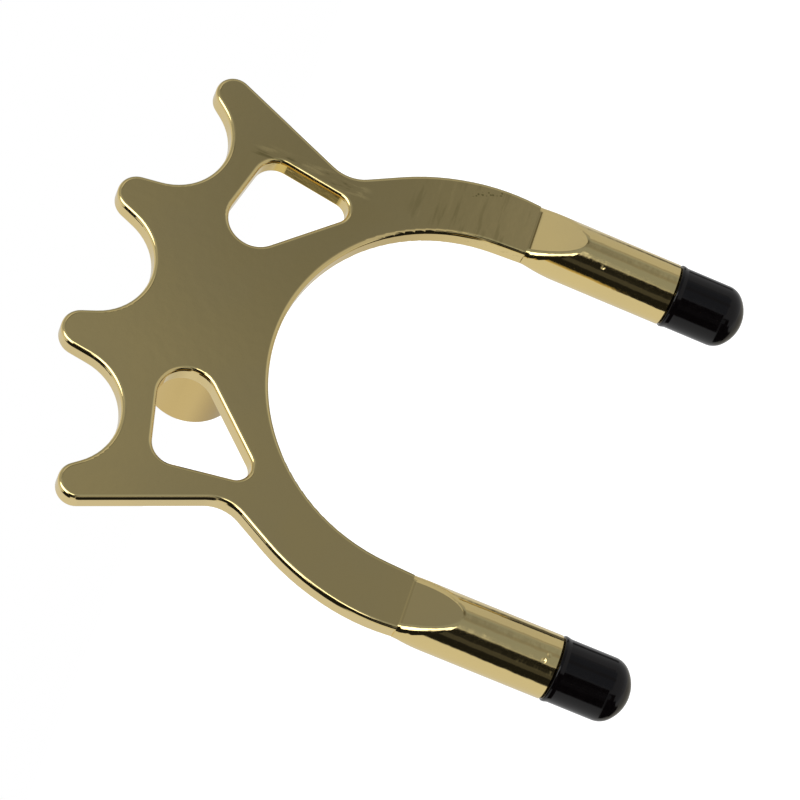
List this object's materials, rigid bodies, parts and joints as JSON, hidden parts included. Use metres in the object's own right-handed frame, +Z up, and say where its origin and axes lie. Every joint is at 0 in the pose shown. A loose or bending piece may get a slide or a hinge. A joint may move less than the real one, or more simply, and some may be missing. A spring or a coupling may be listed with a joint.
{
  "type": "cue rest head",
  "caption": "Bridge head for a cue rest: brass plate with pronged cue notches over an arch, round legs with rubber feet and a socket behind for the stick.",
  "frame": {"origin": "centre of the stick socket's mouth, on the bore's axis", "axes": "+Y along the socket, the way the stick leaves; the plate's front faces -Y; +Z up to the prongs; +X across"},
  "size_m": [0.0998, 0.037, 0.1271],
  "materials": {
    "brass_head": "mirror-polished plating",
    "brass_socket": "mirror-polished plating",
    "foot_rubber": "glossy"
  },
  "bodies": {
    "head": {"head_casting": "brass_head", "stick_socket": "brass_socket"},
    "foot_cap_left": {"foot_cap_left": "foot_rubber"},
    "foot_cap_right": {"foot_cap_right": "foot_rubber"}
  },
  "joints": [
    {"name": "foot_cap_left_pull", "type": "slide", "parent": "head", "child": "foot_cap_left", "axis": [0, 0, -1], "range_m": [0, 0.013]},
    {"name": "foot_cap_right_pull", "type": "slide", "parent": "head", "child": "foot_cap_right", "axis": [0, 0, -1], "range_m": [0, 0.013]}
  ]
}
